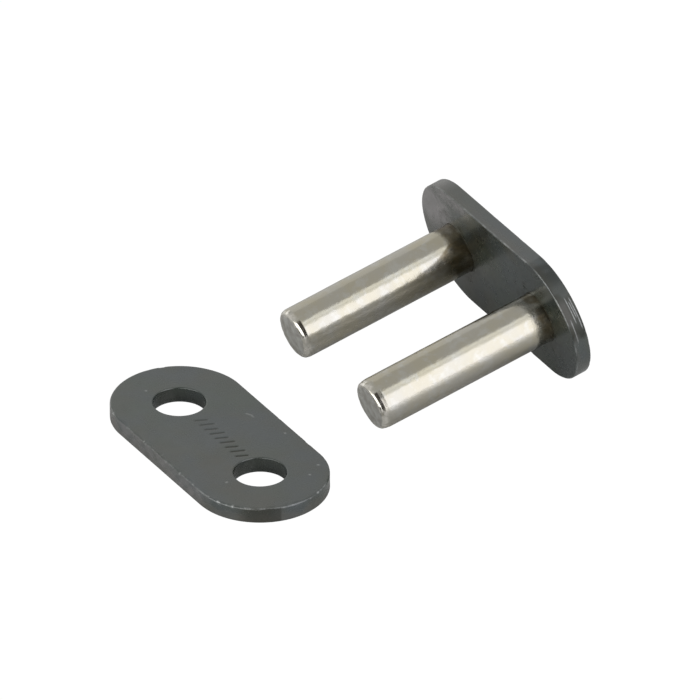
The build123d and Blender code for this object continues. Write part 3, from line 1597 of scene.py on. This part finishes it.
    def on_corner(self, local: np.ndarray) -> np.ndarray:
        """1 on the corner round the flat end, and 0 inside it and on the shank."""
        outward = np.hypot(local[:, 0], local[:, 1]) - self.end_radius()
        return step(self.corner_band, outward) * self.on_tip(local)

    def shank_relief(self, local: np.ndarray) -> np.ndarray:
        """The turned steel's swell and ripple, and the faint neck at the plate.

        Args:
            local: points in the pin's own axes.

        Returns:
            One height a point, and none inside the plate.
        """
        height = local[:, 2]
        outer_face = -self.plate_thickness - ON_FACE
        ripple = self.ripple.at(local * self.ripple_stretch, self.seed) * (height > self.foot)
        ripple *= between(self.calm_levels, step(self.calm_foot, height))
        relief = self.swell.at(local, self.seed) + self.ripple_depth * ripple
        relief -= self.neck_depth * self.neck.at(height)
        return relief * (step(self.out_of_plate, height) + (height < outer_face))

    def relief(self, local: np.ndarray) -> np.ndarray:
        """How far each point is raised: the shank's relief, the crowned end, and bruises.

        The crown is crown (1 - (r / end radius)^2).

        Args:
            local: points in the pin's own axes.

        Returns:
            One height a point.
        """
        share = np.minimum(np.hypot(local[:, 0], local[:, 1]) / self.end_radius(), 1)
        crown = self.crown * self.on_tip(local) * (1 - share**2)
        cuts = self.cut_depth * self.cut_marks.at(local, self.seed)
        bruises = self.on_corner(local) * self.bruises.at(local, self.seed)
        bruises *= 1 - self.spared_share * self.spared_side.at(self.side(local))
        end = self.on_end(local) * (crown + cuts)
        return self.shank_relief(local) + end - self.bruise_depth * bruises

    def rubbed_and_lit(self, local: np.ndarray) -> np.ndarray:
        """Where the corner round the end is bright from wear, with painted highlights on two of its
        sides.

        Args:
            local: points in the pin's own axes.

        Returns:
            One level a point.
        """
        side = self.side(local)
        # painted highlights on the upper and the lower side of the corner
        bright = np.maximum.reduce([part.at(side) for part in self.highlight_sides])
        wear = self.corner_wear.at(local, self.seed) + bright * self.bright_wear_and_highlight.at(local, self.seed)
        return self.on_corner(local) * wear

    def dulled(self, local: np.ndarray) -> np.ndarray:
        """Where the side that faces the other pin is matt.

        Args:
            local: points in the pin's own axes.

        Returns:
            One level a point.
        """
        side = self.side(local)
        part = step(self.dull_start, side + self.dull_line.at(local, self.seed))
        part *= fade(self.dull_end, side) * step(self.dull_foot, local[:, 2])
        return self.dull_side * part

    def stained_and_shaded(self, local: np.ndarray) -> np.ndarray:
        """Where a brown film and painted shade cover the foot and the head, and painted shade the side of
        the foot.

        Args:
            local: points in the pin's own axes.

        Returns:
            One level a point.
        """
        height = local[:, 2]
        # brown film, with painted shade where the pin meets the plate
        film_and_shade = fade(self.film_edge, height + self.film_line.at(local, self.seed) - self.film_reach)
        film_and_shade *= np.where(height > self.foot, self.film_strength, self.head_film)
        film_and_shade *= self.film_gaps.at(local, self.seed)
        return np.maximum(film_and_shade, self.dull_side * self.side_shade.at(self.side(local), height))

    def wear(self, local: np.ndarray) -> dict[str, np.ndarray]:
        """The attributes that the finish reads.

        Args:
            local: points in the pin's own axes.

        Returns:
            The cut end, bright corner with painted highlights, matt side, and brown film with painted
            shade, by name.
        """
        return {
            "cut": self.cut_level * self.on_end(local),
            "rubbed_and_lit": self.rubbed_and_lit(local),
            "dulled": self.dulled(local),
            "stained_and_shaded": self.stained_and_shaded(local),
        }


# ---------------------------------------------------------------- studio


def stage_sheet(card: MattCard, corners: np.ndarray, seen: bool) -> None:
    """A single four-cornered sheet of card, which belongs to the stage.

    Args:
        card: the material, which also names the sheet.
        corners: the four corners, in millimetres.
        seen: whether only the camera sees it, or everything but the camera.
    """
    mesh = bpy.data.meshes.new(card.name)
    mesh.from_pydata(corners * MM, [], [[0, 1, 2, 3]])
    mesh.materials.append(card.material())
    thing = put(card.name, mesh)
    thing.visible_camera = seen
    thing.visible_diffuse = thing.visible_glossy = thing.visible_shadow = not seen


@dataclass(frozen=True)
class SoftBox:
    """A soft lamp that faces the link, placed by the angles that it covers as seen from there.

    Azimuth is counted from +X towards +Y, and the lamp's radiance is added to the sky's.
    """

    name: str
    azimuths: Pair
    elevations: Pair
    radiance: float
    colour: Colour = (1.0, 1.0, 1.0)
    shape: LampShape = LampShape.OBLONG
    distance: float = 400

    def place(self) -> None:
        """Makes the lamp. Its power is pi times area times radiance, and a round one fills pi/4."""
        azimuth, elevation = (math.radians(sum(pair) / 2) for pair in (self.azimuths, self.elevations))
        spans = [math.radians(pair[1] - pair[0]) / 2 for pair in (self.azimuths, self.elevations)]
        size = [2 * self.distance * MM * math.tan(span) for span in spans]
        size[0] *= math.cos(elevation)
        filled = math.pi / 4 if self.shape is LampShape.ROUND else 1
        lamp = bpy.data.lights.new(self.name, "AREA")
        lamp.shape = self.shape.value
        lamp.size, lamp.size_y = size
        lamp.energy = math.pi * size[0] * size[1] * filled * self.radiance
        lamp.color = self.colour
        thing = put(self.name, lamp)
        away = direction(azimuth, elevation)
        thing.matrix_world = looking(away * self.distance * MM, -away)
        thing.visible_camera = False


@dataclass(frozen=True)
class Studio:
    """The table, the soft light round it, and the camera.

    The table is two sheets in one place: a matt one that the metal mirrors, with the shadows on
    it, and an even white one that only the camera sees.
    """

    table: MattCard = MattCard("table", (0.53, 0.53, 0.52), sheen=0.5, glow=0.05)
    table_height: float = -0.02
    white_out: MattCard = MattCard("white_out", (0.0, 0.0, 0.0), glow=1.02)
    white_out_height: float = -0.03
    table_size: float = 6000
    black_card: MattCard = MattCard("black_card", (0.13, 0.12, 0.11))
    card_upper: Pair = (-66, 70)
    card_lower: Pair = (-8, 0)
    card_distance: float = 1500
    card_sides: Pair = (17, 7.5)
    sky: float = 0.56
    sky_colour: Colour = (1.0, 0.985, 0.955)
    camera_azimuth: float = -30.63
    camera_elevation: float = 31.43
    camera_distance: float = 1250
    target: tuple[float, float, float] = (-4.861, 3.380, 0.0)
    field_width: float = 42.95
    sensor: float = 36
    lamps: tuple[SoftBox, ...] = (
        SoftBox("window", (-5, 52), (0.5, 51), 1.36, (0.94, 0.93, 1.0)),
        SoftBox("window_middle", (-5, 56), (51, 59), 0.64),
        SoftBox("window_top", (-5, 60), (60, 73), 0.74),
        SoftBox("front_fill", (-116, -28), (0, 23), 2.5, shape=LampShape.ROUND),
        SoftBox("left_fill", (178, 210), (0, 22), 0.5),
        SoftBox("left_low", (152, 178), (0, 44), 0.15),
    )

    def build(self) -> None:
        """Sets up everything round the link."""
        scene = bpy.context.scene
        scene.view_settings.view_transform = "Standard"
        scene.world = bpy.data.worlds.new("studio")
        scene.world.use_nodes = True
        background = scene.world.node_tree.nodes["Background"]
        background.inputs["Color"].default_value = (*self.sky_colour, 1)
        background.inputs["Strength"].default_value = self.sky
        for lamp in self.lamps:
            lamp.place()
        self.build_table()
        self.build_card()
        self.build_camera()
        log.info("studio: %d lamps, table, card and camera", len(self.lamps))

    def build_table(self) -> None:
        """The table's two sheets, just under the link."""
        half = self.table_size / 2
        square = np.array([[-half, -half], [half, -half], [half, half], [-half, half]])
        for card, height in ((self.table, self.table_height), (self.white_out, self.white_out_height)):
            corners = np.column_stack([square, np.full(len(square), height)])
            stage_sheet(card, corners, seen=card is self.white_out)

    def build_card(self) -> None:
        """The dark strip behind the camera, which only the metal's reflections show."""
        upper = self.card_distance * direction(*np.radians(self.card_upper))
        lower = self.card_distance * direction(*np.radians(self.card_lower))
        side = np.cross(upper, lower)
        side *= self.card_distance / np.linalg.norm(side)
        left, right = (side * math.tan(math.radians(angle)) for angle in self.card_sides)
        corners = np.array([upper - left, upper + right, lower + right, lower - left])
        stage_sheet(self.black_card, corners, seen=False)

    def build_camera(self) -> None:
        """A long lens that takes in the field's width at the target."""
        away = direction(math.radians(self.camera_azimuth), math.radians(self.camera_elevation))
        camera = bpy.data.cameras.new("camera")
        camera.sensor_width = self.sensor
        camera.lens = self.sensor * self.camera_distance / self.field_width
        place = np.array(self.target) + away * self.camera_distance
        thing = put("camera", camera)
        thing.matrix_world = looking(place * MM, -away)
        bpy.context.scene.camera = thing


def main() -> None:
    """Builds the studio and the four pieces, and reports each."""
    logging.basicConfig(level=logging.INFO, format="%(name)s: %(message)s")
    Studio().build()
    dark_oxide = DarkOxide().material()
    nickelled = NickelledSteel().material()
    CoverPlate(dark_oxide).build()
    PinPlate(dark_oxide).build()
    Pin(
        nickelled,
        "rear_pin",
        seed=100,
        reach=12.18,
        end_round=0.25,
        film_reach=1.10,
        film_strength=0.68,
        dull_side=1.0,
    ).build()
    Pin(nickelled, "front_pin", seed=300, reach=12.31, lead_length=0.20).build()


if __name__ == "__main__":
    main()
